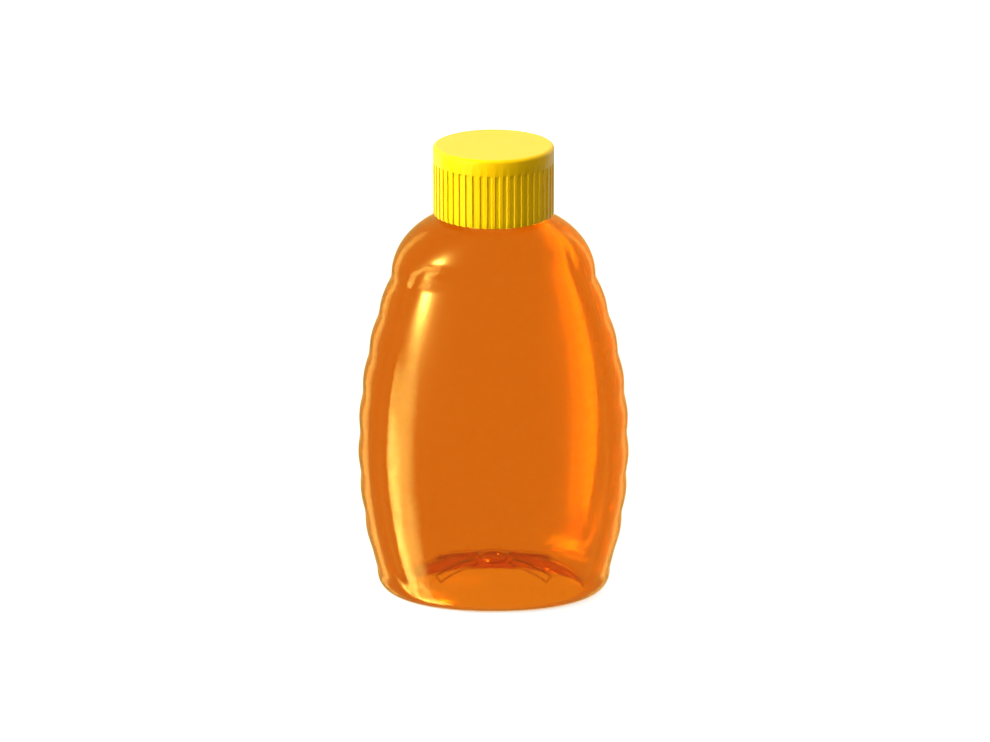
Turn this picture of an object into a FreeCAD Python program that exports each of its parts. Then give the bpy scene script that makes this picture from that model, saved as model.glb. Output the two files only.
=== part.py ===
import FreeCAD, Part
import math
import os

# Squeeze bottle of honey with a ribbed screw cap.
# The bottle stands on Z = 0 with its wide faces looking along -Y and +Y. All sizes are in millimetres.

# Bottle body: oval plan, swept up a side arc and a flatter face arc
BELLY_HALF_WIDTH = 45.1
BELLY_HEIGHT = 50.4
SIDE_ARC_RADIUS = 172.0
FACE_HALF_DEPTH = 28.0
FACE_BELLY_HEIGHT = 40.0
FACE_ARC_RADIUS = 390.0
OVAL_POWER = 2.12
SHOULDER_HEIGHT = 111.4
SHOULDER_RISE = 21.6
SHOULDER_TUCK = 0.2
SHOULDER_RISE_POWER = 2.07
SHOULDER_FLAT_POWER = 1.6
FOOT_BAND_HEIGHT = 8.0
FOOT_CORNER_RADIUS = 6.5
BODY_WALL = 0.8

# Scalloped grip lobes down each narrow side
LOBE_COUNT = 7
LOBES_BOTTOM_HEIGHT = 14.7
LOBE_DEPTH = 0.62
LOBE_ROUNDING = 0.2
LOBE_HALF_SPREAD = 12.0

# Label panel on each wide face: a flatter field inside a soft crease
PANEL_FOOT_GAP = 1.0
PANEL_TOP_REACH = 6.6
PANEL_TOP_MARGIN = 9.9
PANEL_BELLY_MARGIN = 6.6
PANEL_FOOT_MARGIN = 8.5
PANEL_CORNER_RADIUS = 3.0
PANEL_SINK = 1.5
PANEL_LEDGE = 2.6
CREASE_DEPTH = 0.45
CREASE_HALF_WIDTH = 1.7

# Push-up base: a shallow dome with radial ribs and a round centre boss
STANDING_RING_SIDE = 3.3
STANDING_RING_FACE = 1.2
DOME_RISE = 10.6
DOME_RIB_ANGLE = 27.0
DOME_RIB_WIDTH = 3.0
DOME_RIB_RISE = 0.9
DOME_RIB_BOSS_GAP = 2.9
DOME_RIB_EDGE_GAP = 5.7
BOSS_RADIUS = 4.1
BOSS_RISE = 0.9
GATE_RADIUS = 1.1
GATE_DROP = 0.7
GATE_ROOT = 0.4

# Neck finish
NECK_RADIUS = 16.8
NECK_WALL = 1.2
NECK_ROOT_OVERLAP = 3.0
BEAD_PROUD = 0.7
BEAD_HEIGHT = 1.8
BEAD_LIFT = 4.0
BEAD_EDGE_ROUND = 0.28

# Cap
CAP_CLEARANCE = 0.5
CAP_HEIGHT = 22.8
CAP_LIFT = 0.5
CAP_TOP_WALL = 1.8
CAP_SKIRT_WALL = 1.2
CAP_EDGE_ROUND = 1.2
CAP_INNER_EDGE = 0.5
RIB_COUNT = 50
RIB_DEPTH = 0.6
RIB_SHARE = 0.5
RIB_BAND_HEIGHT = 5.4
PLUG_DEPTH = 2.0
PLUG_WALL = 1.0
PLUG_CLEARANCE = 0.15

# Honey
AIR_GAP = 1.0

# Number of stations in the skinned surfaces, and how closely their edges are joined
AROUND = 96
CORNER_STEPS = 5
LOWER_STEPS = 3
STEPS_PER_LOBE = 6
SHOULDER_STEPS = 9
SEW_TOLERANCE = 1e-6

# Places and sizes that follow from the ones above
PANEL_BOTTOM = FOOT_BAND_HEIGHT + PANEL_FOOT_GAP
PANEL_TOP = SHOULDER_HEIGHT + PANEL_TOP_REACH
SHOULDER_TOP = SHOULDER_HEIGHT + SHOULDER_RISE
CAP_BOTTOM = SHOULDER_TOP + CAP_LIFT
CAP_TOP = CAP_BOTTOM + CAP_HEIGHT
NECK_TOP = CAP_TOP - CAP_TOP_WALL
BORE_RADIUS = NECK_RADIUS - NECK_WALL
SHOULDER_TOP_RADIUS = BORE_RADIUS - SHOULDER_TUCK
BEAD_RADIUS = NECK_RADIUS + BEAD_PROUD
CAP_BORE_RADIUS = BEAD_RADIUS + CAP_CLEARANCE
CAP_RADIUS = CAP_BORE_RADIUS + CAP_SKIRT_WALL + RIB_DEPTH
HONEY_TOP = NECK_TOP - PLUG_DEPTH - AIR_GAP

Z_AXIS = FreeCAD.Vector(0, 0, 1)


def vector(x, y, z):
    return FreeCAD.Vector(x, y, z)


def smooth(t):
    """Ease from 0 to 1 as t goes from 0 to 1."""
    t = min(max(t, 0.0), 1.0)
    return t * t * (3.0 - 2.0 * t)


def on_arc(height, widest, widest_height, radius):
    """Half-width at a height on a vertical arc that is widest at widest_height."""
    rise = height - widest_height
    return widest - radius + math.sqrt(radius ** 2 - rise ** 2)


def side_half_width(height):
    return on_arc(height, BELLY_HALF_WIDTH, BELLY_HEIGHT, SIDE_ARC_RADIUS)


def face_half_depth(height):
    return on_arc(height, FACE_HALF_DEPTH, FACE_BELLY_HEIGHT, FACE_ARC_RADIUS)


def foot_height():
    """Height at which the side starts to swell, above the rounded foot."""
    return max(FOOT_BAND_HEIGHT, FOOT_CORNER_RADIUS)


def side_turn(height):
    """Angle along the side arc at a height, measured from the belly."""
    return math.asin((height - BELLY_HEIGHT) / SIDE_ARC_RADIUS)


def lobe_bulge(height):
    """Outward swell of the grip lobes, evenly spaced along the side arc."""
    if height < LOBES_BOTTOM_HEIGHT or height > SHOULDER_HEIGHT:
        return 0.0
    first, last = side_turn(LOBES_BOTTOM_HEIGHT), side_turn(SHOULDER_HEIGHT)
    wave = math.sin(math.pi * LOBE_COUNT * (side_turn(height) - first) / (last - first))
    crest = math.hypot(1.0, LOBE_ROUNDING) - LOBE_ROUNDING
    return LOBE_DEPTH * (math.hypot(wave, LOBE_ROUNDING) - LOBE_ROUNDING) / crest


def stations():
    """Half-width, half-depth, height and roundness share of each level of the body, from the foot up."""
    foot = foot_height()
    foot_width, foot_depth = side_half_width(foot), face_half_depth(foot)
    levels = []
    for step in range(CORNER_STEPS + 1):
        turn = 0.5 * math.pi * step / CORNER_STEPS
        inset = FOOT_CORNER_RADIUS * (1.0 - math.sin(turn))
        height = FOOT_CORNER_RADIUS * (1.0 - math.cos(turn))
        levels.append((foot_width - inset, foot_depth - inset, height, 0.0))
    for step in range(LOWER_STEPS):
        height = foot + (LOBES_BOTTOM_HEIGHT - foot) * step / LOWER_STEPS
        levels.append(side_level(height))
    first, last = side_turn(LOBES_BOTTOM_HEIGHT), side_turn(SHOULDER_HEIGHT)
    count = LOBE_COUNT * STEPS_PER_LOBE
    for step in range(count + 1):
        turn = first + (last - first) * step / count
        levels.append(side_level(BELLY_HEIGHT + SIDE_ARC_RADIUS * math.sin(turn)))
    side = levels[-1]
    for step in range(1, SHOULDER_STEPS + 1):
        share = math.sin(0.5 * math.pi * step / SHOULDER_STEPS)
        reach = (1.0 - share ** SHOULDER_RISE_POWER) ** (1.0 / SHOULDER_FLAT_POWER)
        width = SHOULDER_TOP_RADIUS + (side[0] - SHOULDER_TOP_RADIUS) * reach
        depth = SHOULDER_TOP_RADIUS + (side[1] - SHOULDER_TOP_RADIUS) * reach
        levels.append((width, depth, SHOULDER_HEIGHT + SHOULDER_RISE * share, 1.0 - reach))
    return levels


def side_level(height):
    """Level of the body between the foot and the shoulder."""
    return (side_half_width(height), face_half_depth(height), height, 0.0)


def panel_half_width(height):
    """Half-width of the label panel: a parabola through its foot, belly and top widths."""
    low, mid, high = PANEL_BOTTOM, BELLY_HEIGHT, PANEL_TOP
    foot_width = side_half_width(low) - PANEL_FOOT_MARGIN
    belly_width = side_half_width(mid) - PANEL_BELLY_MARGIN
    top_width = side_half_width(SHOULDER_HEIGHT) - PANEL_TOP_MARGIN
    foot = foot_width * (height - mid) * (height - high) / ((low - mid) * (low - high))
    belly = belly_width * (height - low) * (height - high) / ((mid - low) * (mid - high))
    top = top_width * (height - low) * (height - mid) / ((high - low) * (high - mid))
    return foot + belly + top


def panel_distance(x, height):
    """Distance from the panel's outline, negative inside it."""
    middle = 0.5 * (PANEL_TOP + PANEL_BOTTOM)
    half_height = 0.5 * (PANEL_TOP - PANEL_BOTTOM)
    inside_height = min(max(height, PANEL_BOTTOM), PANEL_TOP)
    across = abs(x) - panel_half_width(inside_height) + PANEL_CORNER_RADIUS
    along = abs(height - middle) - half_height + PANEL_CORNER_RADIUS
    outside = math.hypot(max(across, 0.0), max(along, 0.0))
    return min(max(across, along), 0.0) + outside - PANEL_CORNER_RADIUS


def panel_relief(x, height):
    """How far the face lies inside the plain oval, from the crease and the flatter panel."""
    distance = panel_distance(x, height)
    crease = CREASE_DEPTH * math.exp(-(distance / CREASE_HALF_WIDTH) ** 2)
    inside_height = min(max(height, PANEL_BOTTOM), PANEL_TOP)
    across = x / panel_half_width(inside_height)
    return crease + PANEL_SINK * max(0.0, 1.0 - across * across) * smooth(-distance / PANEL_LEDGE)


def body_point(level, turn):
    """Point on the outer skin of the body at one level and one angle of the oval."""
    width, depth, height, roundness = level
    power = OVAL_POWER + (2.0 - OVAL_POWER) * roundness
    across, along = math.cos(turn), math.sin(turn)
    x = width * math.copysign(abs(across) ** (2.0 / power), across)
    y = depth * math.copysign(abs(along) ** (2.0 / power), along)
    normal_x = math.copysign(abs(x / width) ** (power - 1.0), x) / width
    normal_y = math.copysign(abs(y / depth) ** (power - 1.0), y) / depth
    length = math.hypot(normal_x, normal_y)
    spread = min(abs(y) / LOBE_HALF_SPREAD, 1.0)
    swell = lobe_bulge(height) * math.cos(0.5 * math.pi * spread) ** 2
    shift = swell - panel_relief(x, height)
    return vector(x + shift * normal_x / length, y + shift * normal_y / length, height)


def skin_points(inset):
    """Grid of points on the body's skin, moved inwards along the surface normal by inset."""
    levels = stations()
    turns = [2.0 * math.pi * index / AROUND for index in range(AROUND)]
    grid = [[body_point(level, turn) for turn in turns] for level in levels]
    if inset == 0.0:
        return grid
    last = len(grid) - 1
    moved = []
    for row, ring in enumerate(grid):
        moved_ring = []
        for index, point in enumerate(ring):
            around = ring[(index + 1) % AROUND] - ring[index - 1]
            upward = grid[min(row + 1, last)][index] - grid[max(row - 1, 0)][index]
            if row == 0 or row == last:
                upward = vector(point.x, point.y, 0) * (1.0 if row == 0 else -1.0)
            normal = around.cross(upward)
            normal.normalize()
            moved_ring.append(point - normal * inset)
        moved.append(moved_ring)
    return moved


def skinned_solid(grid):
    """Solid bounded by a smooth closed skin through the rings of points, with flat ends."""
    share = [index / AROUND for index in range(AROUND + 1)]
    rings = []
    for ring in grid:
        curve = Part.BSplineCurve()
        curve.interpolate(Points=ring, PeriodicFlag=True, Parameters=share)
        rings.append(curve)
    climb = [0.0]
    for lower, upper in zip(grid, grid[1:]):
        steps = [(high - low).Length for low, high in zip(lower, upper)]
        climb.append(climb[-1] + sum(steps) / len(steps))
    rails = []
    for index in range(1, rings[0].NbPoles + 1):
        rail = Part.BSplineCurve()
        rail.interpolate(Points=[ring.getPole(index) for ring in rings], Parameters=climb)
        rails.append(rail)
    surface = Part.BSplineSurface()
    surface.buildFromPolesMultsKnots(
        [rail.getPoles() for rail in rails],
        rings[0].getMultiplicities(),
        rails[0].getMultiplicities(),
        rings[0].getKnots(),
        rails[0].getKnots(),
        True,
        False,
        rings[0].Degree,
        rails[0].Degree,
    )
    side = surface.toShape()
    closed_edges = [edge for edge in side.Edges if edge.isClosed()]
    ends = [Part.Face(Part.Wire([edge])) for edge in closed_edges]
    shell = Part.Shell([side] + ends)
    shell.sewShape()
    solid = Part.Solid(shell)
    solid.fix(SEW_TOLERANCE, SEW_TOLERANCE, SEW_TOLERANCE)
    return solid


def upright_cylinder(radius, bottom, top):
    return Part.makeCylinder(radius, top - bottom, vector(0, 0, bottom), Z_AXIS)


def dome_half_width():
    return side_half_width(foot_height()) - FOOT_CORNER_RADIUS - STANDING_RING_SIDE


def dome_half_depth():
    return face_half_depth(foot_height()) - FOOT_CORNER_RADIUS - STANDING_RING_FACE


def dome_reach(angle):
    """Distance from the dome's centre to its rim in the direction of an angle."""
    across = math.cos(math.radians(angle)) / dome_half_width()
    along = math.sin(math.radians(angle)) / dome_half_depth()
    return 1.0 / math.hypot(across, along)


def oval_dome(grow):
    """Ellipsoid centred on the floor and grown by grow, whose upper half is the dome."""
    ball = Part.makeSphere(1.0)
    stretch = FreeCAD.Matrix()
    stretch.scale(dome_half_width() + grow, dome_half_depth() + grow, DOME_RISE + grow)
    return ball.transformGeometry(stretch)


def radial_bars(cover, height):
    """Upright bars along the dome's diagonal ribs, grown by cover on every side."""
    start = BOSS_RADIUS + DOME_RIB_BOSS_GAP - cover
    end = dome_reach(DOME_RIB_ANGLE) - DOME_RIB_EDGE_GAP + cover
    width = DOME_RIB_WIDTH + 2.0 * cover
    bars = []
    for side in (0.0, 180.0):
        for angle in (DOME_RIB_ANGLE, -DOME_RIB_ANGLE):
            bar = Part.makeBox(end - start, width, height, vector(start, -0.5 * width, 0))
            bar.rotate(vector(0, 0, 0), Z_AXIS, side + angle)
            bars.append(bar)
    return bars


def push_up(cover):
    """Space under the base, grown by cover on every side: dome, ribs and centre boss."""
    rib_grow = cover + DOME_RIB_RISE
    rib_dome = oval_dome(rib_grow)
    ribs = [rib_dome.common(bar) for bar in radial_bars(cover, DOME_RISE + rib_grow)]
    boss = upright_cylinder(BOSS_RADIUS + cover, 0.0, DOME_RISE + BOSS_RISE + cover)
    return oval_dome(cover).multiFuse(ribs + [boss])


def gate_mark():
    """Small moulding nub that hangs from the middle of the push-up."""
    top = DOME_RISE + BOSS_RISE
    return upright_cylinder(GATE_RADIUS, top - GATE_DROP, top + GATE_ROOT)


def neck():
    """Outside of the neck finish, with the bead below the thread."""
    root = SHOULDER_TOP - NECK_ROOT_OVERLAP
    tube = upright_cylinder(NECK_RADIUS, root, NECK_TOP)
    bead_bottom = SHOULDER_TOP + BEAD_LIFT
    bead = upright_cylinder(BEAD_RADIUS, bead_bottom, bead_bottom + BEAD_HEIGHT)
    rims = [edge for edge in bead.Edges if edge.isClosed()]
    bead = bead.makeFillet(BEAD_EDGE_ROUND, rims)
    return tube.fuse(bead)


def cavity():
    """Everything inside the bottle's wall, up to the rim of the neck."""
    room = skinned_solid(skin_points(BODY_WALL))
    bore = upright_cylinder(BORE_RADIUS, SHOULDER_TOP - NECK_ROOT_OVERLAP, NECK_TOP)
    return room.fuse(bore).cut(push_up(BODY_WALL))


def bottle(inside):
    """Thin-walled bottle: body skin and neck, less the inside and the push-up."""
    outside = skinned_solid(skin_points(0.0)).fuse(neck())
    shell = outside.cut(inside).cut(push_up(0.0))
    return shell.fuse(gate_mark()).removeSplitter()


def honey(inside):
    """Honey, filling the bottle up into the neck."""
    reach = 2.0 * BELLY_HALF_WIDTH
    fill = Part.makeBox(2.0 * reach, 2.0 * reach, HONEY_TOP, vector(-reach, -reach, 0))
    return inside.common(fill)


def cap():
    """Hollow cap with upright ribs below a plain band, a rounded top edge and a plug seal."""
    body = upright_cylinder(CAP_RADIUS, CAP_BOTTOM, CAP_TOP)
    top_edge = [edge for edge in body.Edges if edge.BoundBox.ZMin > CAP_TOP - CAP_EDGE_ROUND]
    body = body.makeFillet(CAP_EDGE_ROUND, top_edge)
    hollow = upright_cylinder(CAP_BORE_RADIUS, CAP_BOTTOM, NECK_TOP)
    hollow_edge = [edge for edge in hollow.Edges if edge.BoundBox.ZMin > NECK_TOP - CAP_INNER_EDGE]
    hollow = hollow.makeFillet(CAP_INNER_EDGE, hollow_edge)
    plug_outer = BORE_RADIUS - PLUG_CLEARANCE
    plug = upright_cylinder(plug_outer, NECK_TOP - PLUG_DEPTH, NECK_TOP)
    plug = plug.cut(upright_cylinder(plug_outer - PLUG_WALL, NECK_TOP - PLUG_DEPTH, NECK_TOP))
    body = body.cut(hollow).cut(Part.makeCompound(rib_gaps())).fuse(plug)
    return body.removeSplitter()


def rib_gaps():
    """Cutters for the gaps between the cap's ribs, each reaching out past the ribs."""
    pitch = 2.0 * math.pi * CAP_RADIUS / RIB_COUNT
    width = pitch * (1.0 - RIB_SHARE)
    height = CAP_HEIGHT - RIB_BAND_HEIGHT
    reach = 2.0 * RIB_DEPTH
    gaps = []
    for index in range(RIB_COUNT):
        corner = vector(CAP_RADIUS - RIB_DEPTH, -0.5 * width, CAP_BOTTOM)
        gap = Part.makeBox(reach, width, height, corner)
        gap.rotate(vector(0, 0, 0), Z_AXIS, 360.0 * index / RIB_COUNT)
        gaps.append(gap)
    return gaps


def main():
    os.makedirs("parts", exist_ok=True)
    inside = cavity()
    pieces = {"bottle": bottle(inside), "honey": honey(inside), "cap": cap()}
    for name, shape in pieces.items():
        solids = shape.Solids
        print(name, "solids", len(solids), "valid", shape.isValid(), "volume", round(shape.Volume, 1))
        whole = solids[0] if len(solids) == 1 else shape
        whole.exportStep(f"parts/{name}.step")


main()
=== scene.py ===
"""Squeeze bottle of honey with a ribbed screw cap, dressed around its packed construction model.

The bottle wall, the honey and the cap are lofted by Geometry Nodes from rails of named stations.
Sizes are written in millimetres and multiplied by MM, because every object here is in metres.
"""

import logging
import math
from collections.abc import Callable
from dataclasses import dataclass, field, fields
from enum import Enum

import bpy
import numpy as np
from mathutils import Euler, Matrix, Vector


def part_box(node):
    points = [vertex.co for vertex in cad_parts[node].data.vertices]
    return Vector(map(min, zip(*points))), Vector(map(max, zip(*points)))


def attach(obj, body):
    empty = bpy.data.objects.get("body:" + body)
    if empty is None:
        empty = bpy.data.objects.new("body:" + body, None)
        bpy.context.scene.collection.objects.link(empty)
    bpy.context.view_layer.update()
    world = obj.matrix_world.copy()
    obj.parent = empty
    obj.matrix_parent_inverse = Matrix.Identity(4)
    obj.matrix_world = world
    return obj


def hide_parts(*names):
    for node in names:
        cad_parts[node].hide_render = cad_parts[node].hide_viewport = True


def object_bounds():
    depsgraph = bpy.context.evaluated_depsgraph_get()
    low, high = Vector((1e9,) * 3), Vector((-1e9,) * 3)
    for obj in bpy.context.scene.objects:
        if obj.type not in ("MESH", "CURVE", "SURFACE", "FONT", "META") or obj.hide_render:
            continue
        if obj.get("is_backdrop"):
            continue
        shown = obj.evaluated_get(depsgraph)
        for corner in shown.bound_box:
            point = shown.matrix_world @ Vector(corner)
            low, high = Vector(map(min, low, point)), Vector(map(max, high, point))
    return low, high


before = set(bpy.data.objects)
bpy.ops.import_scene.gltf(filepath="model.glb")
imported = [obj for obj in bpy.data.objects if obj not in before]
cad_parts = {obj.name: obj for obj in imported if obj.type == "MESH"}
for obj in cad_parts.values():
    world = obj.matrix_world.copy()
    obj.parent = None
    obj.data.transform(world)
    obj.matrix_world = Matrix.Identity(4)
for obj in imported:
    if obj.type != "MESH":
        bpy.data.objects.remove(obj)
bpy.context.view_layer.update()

Colour = tuple[float, float, float]

MM = 0.001
WHITE = (1.0, 1.0, 1.0, 1.0)
FULL_TURN = 2.0 * math.pi
QUARTER_TURN = 0.5 * math.pi
MERGE_DISTANCE = 0.001 * MM
APART = 500.0

log = logging.getLogger("honey_bottle")


class Finish(Enum):
    """Names of the finishes on this object."""

    CLEAR_WALL = "clear_wall"
    HONEY = "honey"
    CAP_PLASTIC = "cap_plastic"


# ---------------------------------------------------------------------------------------------
# Node building
# ---------------------------------------------------------------------------------------------


class Graph:
    """Adds and links nodes in one node tree."""

    COLUMN = 190.0
    ROW = 170.0
    ROWS = 12
    COLOUR_INPUTS = (0, 6, 7)
    COLOUR_OUTPUT = 2

    def __init__(self, tree: bpy.types.NodeTree) -> None:
        """Starts in a tree.

        Args:
            tree: The node tree that gets the nodes.
        """
        self.tree = tree

    def add(self, kind: str, **settings: object) -> bpy.types.Node:
        """Adds a node.

        Args:
            kind: Blender's name of the node type.
            settings: Node properties to set.

        Returns:
            The new node.
        """
        place = len(self.tree.nodes)
        node = self.tree.nodes.new(kind)
        node.location = (self.COLUMN * (place // self.ROWS), -self.ROW * (place % self.ROWS))
        for name, value in settings.items():
            setattr(node, name, value)
        return node

    def feed(self, socket: bpy.types.NodeSocket, value: object) -> None:
        """Links a field or an output to an input, or sets the input's own value.

        Args:
            socket: The input.
            value: A Field, an output socket or a plain value.
        """
        if isinstance(value, Field):
            value = value.socket
        if isinstance(value, bpy.types.NodeSocket):
            self.tree.links.new(value, socket)
        else:
            socket.default_value = value

    def join(self, kind: str, inputs: dict[str, object], **settings: object) -> bpy.types.Node:
        """Adds a node and feeds its named inputs.

        Args:
            kind: Blender's name of the node type.
            inputs: What goes to each input, by the input's name.
            settings: Node properties to set.

        Returns:
            The new node.
        """
        node = self.add(kind, **settings)
        for name, value in inputs.items():
            self.feed(node.inputs[name], value)
        return node

    def math(self, operation: str, *values: "Number") -> "Field":
        """Adds a math node.

        Args:
            operation: The node's operation.
            values: Its operands.

        Returns:
            The result.
        """
        node = self.add("ShaderNodeMath", operation=operation)
        for socket, value in zip(node.inputs, values):
            self.feed(socket, value)
        return Field(self, node.outputs[0])

    def vector(self, x: "Number", y: "Number", z: "Number") -> bpy.types.NodeSocket:
        """Joins three numbers into a vector socket."""
        node = self.join("ShaderNodeCombineXYZ", {"X": x, "Y": y, "Z": z})
        return node.outputs[0]

    def parts(self, vector: bpy.types.NodeSocket) -> tuple["Field", "Field", "Field"]:
        """Splits a vector socket into its three numbers."""
        node = self.join("ShaderNodeSeparateXYZ", {"Vector": vector})
        return tuple(Field(self, output) for output in node.outputs)

    def mixed_colours(self, share: object, first: object, second: object) -> bpy.types.NodeSocket:
        """Mixes two colours.

        Args:
            share: How much there is of the second, from 0 to 1.
            first: The first colour.
            second: The second colour.

        Returns:
            The mixed colour's output.
        """
        node = self.add("ShaderNodeMix", data_type="RGBA")
        for place, value in zip(self.COLOUR_INPUTS, (share, first, second)):
            self.feed(node.inputs[place], value)
        return node.outputs[self.COLOUR_OUTPUT]

    def mixed_shaders(self, share: object, first: object, second: object) -> bpy.types.NodeSocket:
        """Mixes two shaders.

        Args:
            share: How much there is of the second, from 0 to 1.
            first: The first shader.
            second: The second shader.

        Returns:
            The mixed shader's output.
        """
        node = self.add("ShaderNodeMixShader")
        for socket, value in zip(node.inputs, (share, first, second)):
            self.feed(socket, value)
        return node.outputs[0]


def math_method(operation: str, swapped: bool = False) -> Callable[..., "Field"]:
    """Makes a method of Field that adds one math node.

    Args:
        operation: The node's operation.
        swapped: Whether the field is the last operand instead of the first.

    Returns:
        The method, which takes the other operands and returns the result as a field.
    """

    def method(self: "Field", *others: "Number") -> "Field":
        """Adds the node."""
        values = (*others, self) if swapped else (self, *others)
        return self.graph.math(operation, *values)

    return method


class Field:
    """A number that varies over a mesh or a surface, worked out by math nodes.

    at_least and at_most give the larger and the smaller of the number and a limit.
    """

    __add__ = math_method("ADD")
    __radd__ = math_method("ADD", swapped=True)
    __sub__ = math_method("SUBTRACT")
    __rsub__ = math_method("SUBTRACT", swapped=True)
    __mul__ = math_method("MULTIPLY")
    __rmul__ = math_method("MULTIPLY", swapped=True)
    __truediv__ = math_method("DIVIDE")
    __rtruediv__ = math_method("DIVIDE", swapped=True)
    __pow__ = math_method("POWER")
    __abs__ = math_method("ABSOLUTE")
    root = math_method("SQRT")
    sine = math_method("SINE")
    cosine = math_method("COSINE")
    sign = math_method("SIGN")
    at_least = math_method("MAXIMUM")
    at_most = math_method("MINIMUM")

    def __init__(self, graph: Graph, socket: bpy.types.NodeSocket) -> None:
        """Wraps an output socket.

        Args:
            graph: The graph that holds the socket's node.
            socket: The output that carries the number.
        """
        self.graph = graph
        self.socket = socket

    def __neg__(self) -> "Field":
        """Negative."""
        return self * -1.0

    def eased(self) -> "Field":
        """Ease from 0 to 1 as this goes from 0 to 1."""
        share = self.at_least(0.0).at_most(1.0)
        return share * share * (3.0 - 2.0 * share)

    def inside(self, limit: "Number", softness: float) -> "Field":
        """1 where this is under limit and 0 above it, with a soft edge of that half-width."""
        return ((limit - self) / (2.0 * softness) + 0.5).eased()

    def mixed(self, other: "Number", share: "Number") -> "Field":
        """This at share 0 and other at share 1."""
        return self + (other - self) * share


Number = Field | float


def hypotenuse(a: Field, b: Number) -> Field:
    """Length of the long side over two short ones at a right angle."""
    return (a * a + b * b).root()


# ---------------------------------------------------------------------------------------------
# Rails and lofts
# ---------------------------------------------------------------------------------------------


@dataclass(frozen=True)
class Station:
    """One ring of a lofted piece.

    half_width and half_depth are the ring's half sizes along X and Y. roundness goes from 0, the
    body's oval, to 1, a true ellipse. inset moves the ring in along the surface's normal. cover is
    how much plastic lies over the push-up, and under is 1 on rings that follow the push-up. flute
    is 1 on rings that the cap's rib gaps cut into.
    """

    half_width: float
    half_depth: float
    height: float
    roundness: float = 1.0
    inset: float = 0.0
    cover: float = 0.0
    under: float = 0.0
    flute: float = 0.0


STATION_VALUES = tuple(item.name for item in fields(Station))


def round_stations(outline: list[tuple[float, float]]) -> list[Station]:
    """Makes round rings.

    Args:
        outline: The radius and the height of each ring.

    Returns:
        One station for each.
    """
    return [Station(radius, radius, height) for radius, height in outline]


def rail_object(name: str, stations: list[Station]) -> bpy.types.Object:
    """Makes the rail of a loft: one vertex for each station, which carries the station's values.

    Args:
        name: Name of the new object.
        stations: The rings in order, so that each next ring lies further along the surface.

    Returns:
        The object, linked to the scene.
    """
    mesh = bpy.data.meshes.new(name)
    mesh.from_pydata([(0.0, 0.0, station.height) for station in stations], [], [])
    for value in STATION_VALUES:
        attribute = mesh.attributes.new(value, "FLOAT", "POINT")
        attribute.data.foreach_set("value", [getattr(station, value) for station in stations])
    rail = bpy.data.objects.new(name, mesh)
    bpy.context.scene.collection.objects.link(rail)
    return rail


def start_tree(name: str, counts: tuple[str, ...], sizes: dict[str, float]) -> Graph:
    """Starts a Geometry Nodes tree whose surface gets its material from an input.

    Args:
        name: Name of the tree.
        counts: Names of its whole-number inputs.
        sizes: Default of each named size, with the Sharp Angle that end_tree needs.

    Returns:
        The tree's graph, without nodes.
    """
    tree = bpy.data.node_groups.new(name, "GeometryNodeTree")
    kinds = {"Geometry": "NodeSocketGeometry", "Material": "NodeSocketMaterial"}
    kinds |= {count: "NodeSocketInt" for count in counts}
    for socket, kind in kinds.items():
        tree.interface.new_socket(socket, in_out="INPUT", socket_type=kind)
    for size, value in sizes.items():
        socket = tree.interface.new_socket(size, in_out="INPUT", socket_type="NodeSocketFloat")
        socket.default_value = value
    tree.interface.new_socket("Geometry", in_out="OUTPUT", socket_type="NodeSocketGeometry")
    return Graph(tree)


def end_tree(graph: Graph, group: bpy.types.Node, surface: bpy.types.NodeSocket) -> None:
    """Ends a tree: smooth but for its sharp edges, with its instances real and its material set.

    Args:
        graph: The tree's graph.
        group: The tree's input node.
        surface: The surface to put out.
    """
    smooth = graph.join("GeometryNodeSetShadeSmooth", {"Geometry": surface})
    bend = graph.add("GeometryNodeInputMeshEdgeAngle").outputs["Unsigned Angle"]
    sharp = graph.math("GREATER_THAN", Field(graph, bend), group.outputs["Sharp Angle"])
    creased = graph.join(
        "GeometryNodeSetShadeSmooth",
        {"Geometry": smooth.outputs[0], "Selection": sharp, "Shade Smooth": False},
        domain="EDGE",
    )
    real = graph.join("GeometryNodeRealizeInstances", {"Geometry": creased.outputs[0]})
    dressed = graph.join(
        "GeometryNodeSetMaterial",
        {"Geometry": real.outputs[0], "Material": group.outputs["Material"]},
    )
    graph.feed(graph.add("NodeGroupOutput").inputs["Geometry"], dressed.outputs[0])


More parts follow.
